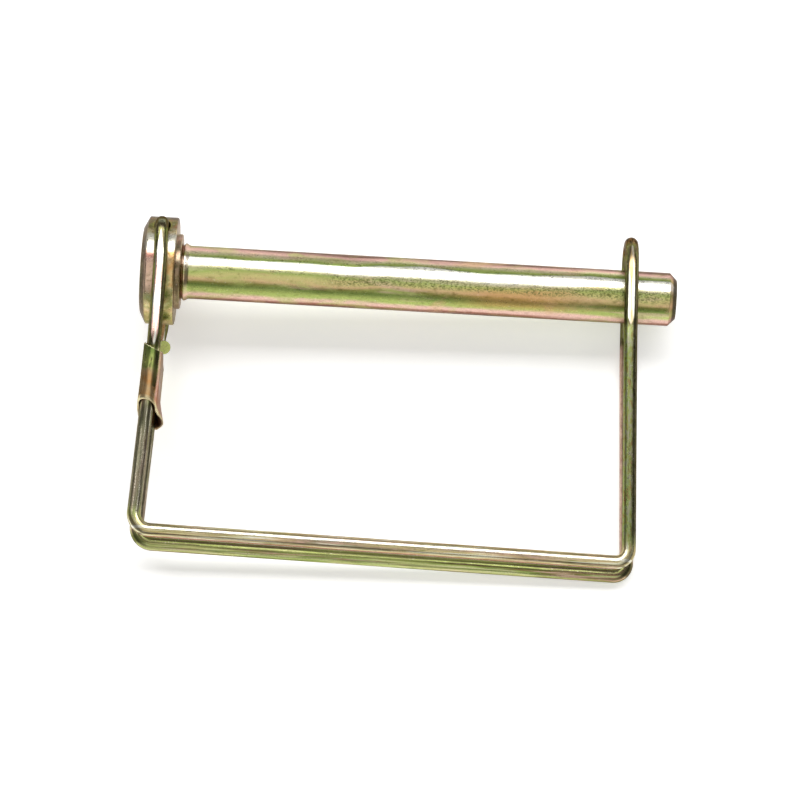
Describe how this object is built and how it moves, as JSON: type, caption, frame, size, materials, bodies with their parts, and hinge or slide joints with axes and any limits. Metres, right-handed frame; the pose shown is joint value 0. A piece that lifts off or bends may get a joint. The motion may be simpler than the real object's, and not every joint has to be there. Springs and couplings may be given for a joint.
{
  "type": "wire-lock lynch pin",
  "caption": "Headed steel pin with a square spring-wire bail that pivots in the head and snaps over the tip of the shank.",
  "frame": {"origin": "on the pin's axis, in the plane of the collar face that seats against the work", "axes": "+X along the pin from the head to the tip; the bail lies towards -Y; +Z square to the bail"},
  "size_m": [0.0795, 0.0516, 0.0213],
  "materials": {
    "pin_plating": "yellow-passivated zinc plating with green and pink iridescence",
    "wire_plating": "yellow-passivated zinc plating on drawn wire",
    "sleeve_plating": "yellow-passivated zinc plating, scuffed by crimping"
  },
  "bodies": {
    "pin": {"headed_pin": "pin_plating"},
    "bail": {"wire_bail": "wire_plating", "crimp_sleeve": "sleeve_plating"}
  },
  "joints": [
    {"name": "bail_hinge", "type": "hinge", "parent": "pin", "child": "bail", "pos_m": [-0.00298, 0.00535, 0], "axis": [0, 0, 1], "range_deg": [-262, 46], "deforming": ["wire_bail"]}
  ]
}
